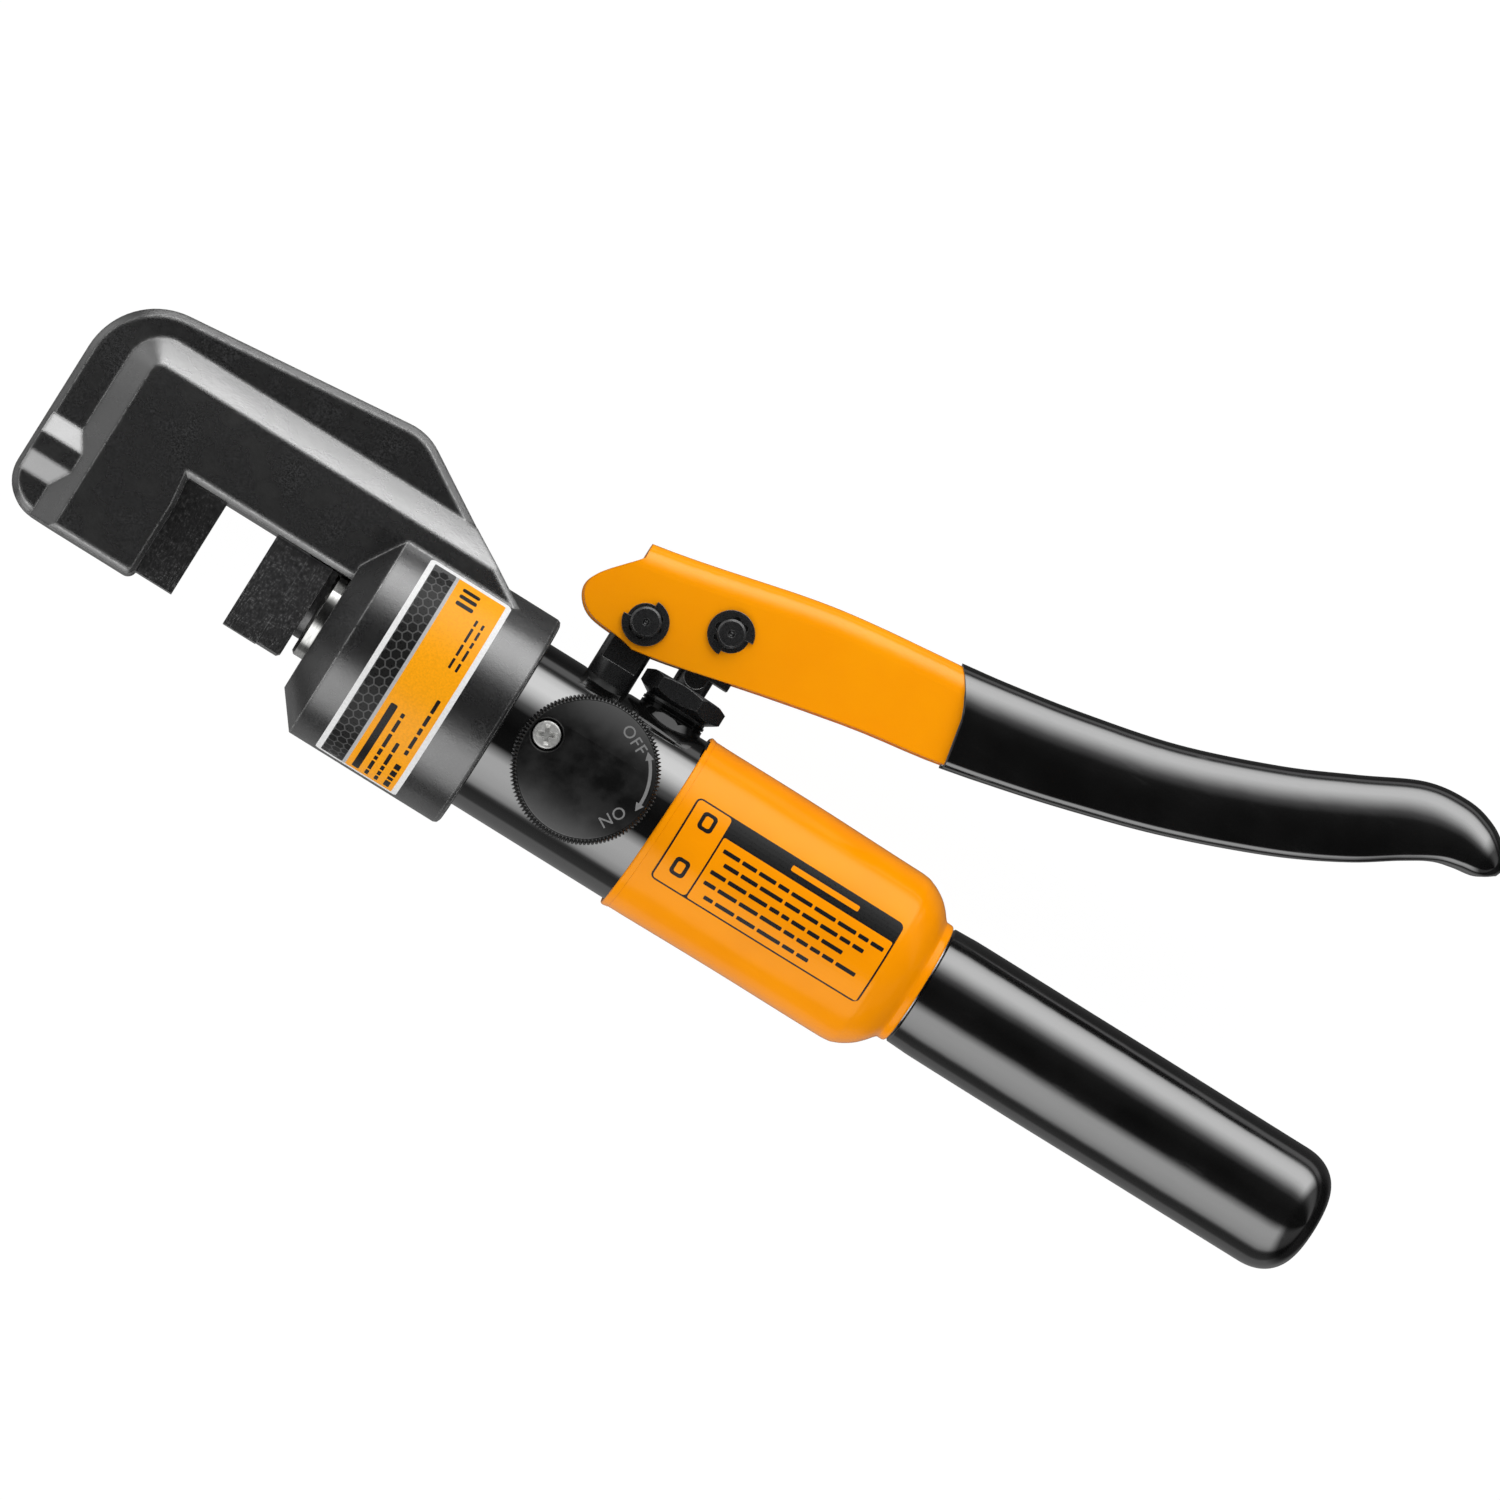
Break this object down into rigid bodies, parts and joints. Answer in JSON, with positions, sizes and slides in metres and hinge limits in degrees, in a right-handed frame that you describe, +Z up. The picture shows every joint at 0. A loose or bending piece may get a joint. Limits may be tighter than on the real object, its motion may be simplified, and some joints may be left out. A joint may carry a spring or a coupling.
{
  "type": "hydraulic bar cutter",
  "caption": "Hand-pumped hydraulic steel bar cutter with a C-shaped cutting head, round pump body, release knob, pump lever and rear grip.",
  "frame": {"origin": "bottom centre of the bounding box, with the tool lying on its side and the release knob up", "axes": "+X along the tool axis towards the rear grip, +Y from the pump body towards the hand lever, +Z up through the release knob"},
  "size_m": [0.3838, 0.1446, 0.0662],
  "materials": {
    "head_black_oxide": "satin black oxide on forged steel, mottled",
    "blade_steel": "dark hardened tool steel, ground",
    "bright_steel": "ground and polished steel",
    "body_black": "gloss black",
    "small_black_oxide": "black oxide, semi-gloss",
    "spring_steel": "spring wire",
    "knob_black": "satin black with fine knurl",
    "bronze": "machined bronze",
    "tube_alloy": "drawn tube",
    "seal_rubber": "moulded seal rubber",
    "lever_yellow": "yellow-orange powder coat, gloss",
    "sleeve_yellow": "yellow-orange dipped PVC, gloss",
    "grip_black": "black dipped PVC, gloss",
    "label_print": null
  },
  "bodies": {
    "frame": {"cutter_head": "head_black_oxide", "fixed_blade": "blade_steel", "release_ball": "bright_steel", "pump_body": "body_black", "fulcrum_post": "small_black_oxide", "gland_nut": "small_black_oxide", "fixed_blade_screw": "small_black_oxide", "relief_screw": "small_black_oxide", "filler_plug": "small_black_oxide", "bladder_clamp": "small_black_oxide", "gland_washer": "small_black_oxide", "return_spring": "spring_steel", "delivery_spring": "spring_steel", "suction_spring": "spring_steel", "relief_spring": "spring_steel", "rod_guide_bush": "bronze", "suction_seat": "bronze", "delivery_spring_seat": "bronze", "suction_filter": "bronze", "reservoir_tube": "tube_alloy", "handle_tube": "tube_alloy", "suction_tube": "tube_alloy", "handle_plug": "tube_alloy", "rod_wiper": "seal_rubber", "body_o_ring": "seal_rubber", "plunger_seal": "seal_rubber", "plunger_backup_ring": "seal_rubber", "oil_bladder": "seal_rubber", "body_sleeve": "sleeve_yellow", "handle_grip": "grip_black", "rating_label": "label_print"},
    "ram": {"ram": "bright_steel", "piston_seal": "seal_rubber", "piston_backup_ring": "seal_rubber", "blade_holder": "blade_steel", "holder_screw": "small_black_oxide", "moving_blade": "blade_steel", "moving_blade_screws": "small_black_oxide"},
    "knob": {"release_knob": "knob_black", "knob_screw": "bright_steel", "valve_stem": "small_black_oxide", "stem_o_ring": "seal_rubber"},
    "lever": {"lever_channel": "lever_yellow", "lever_grip": "grip_black", "fulcrum_pin": "small_black_oxide", "link_pin": "small_black_oxide", "pin_clips": "small_black_oxide"},
    "plunger": {"pump_plunger": "small_black_oxide"},
    "delivery_valve": {"delivery_ball": "bright_steel"},
    "suction_valve": {"suction_ball": "bright_steel"},
    "relief_valve": {"relief_ball": "bright_steel"}
  },
  "joints": [
    {"name": "lever_swing", "type": "hinge", "parent": "frame", "child": "lever", "pos_m": [-0.0352, -0.0009, 0.03025], "axis": [0, 0, 1], "range_deg": [-12.5, 20]},
    {"name": "plunger_slide", "type": "slide", "parent": "frame", "child": "plunger", "axis": [0, 1, 0], "range_m": [-0.00425, 0.0068]},
    {"name": "ram_slide", "type": "slide", "parent": "frame", "child": "ram", "axis": [-1, 0, 0], "range_m": [0, 0.017], "stiffness_N_per_m": 1500, "springref_m": -0.006, "deforming": ["return_spring"]},
    {"name": "knob_turn", "type": "hinge", "parent": "frame", "child": "knob", "pos_m": [-0.02925, -0.0414, 0.06025], "axis": [0, 0, 1], "range_deg": [0, 90]},
    {"name": "delivery_valve_lift", "type": "slide", "parent": "frame", "child": "delivery_valve", "axis": [-1, 0, 0], "range_m": [0, 0.001], "stiffness_N_per_m": 40, "springref_m": -0.001, "deforming": ["delivery_spring"]},
    {"name": "suction_valve_lift", "type": "slide", "parent": "frame", "child": "suction_valve", "axis": [-1, 0, 0], "range_m": [0, 0.001], "stiffness_N_per_m": 40, "springref_m": -0.001, "deforming": ["suction_spring"]},
    {"name": "relief_valve_lift", "type": "slide", "parent": "frame", "child": "relief_valve", "axis": [1, 0, 0], "range_m": [0, 0.001], "stiffness_N_per_m": 400, "springref_m": -0.002, "deforming": ["relief_spring"]}
  ],
  "couplings": [
    {"joint": "plunger_slide", "follows": "lever_swing", "m_per_rad": 0.0193}
  ]
}
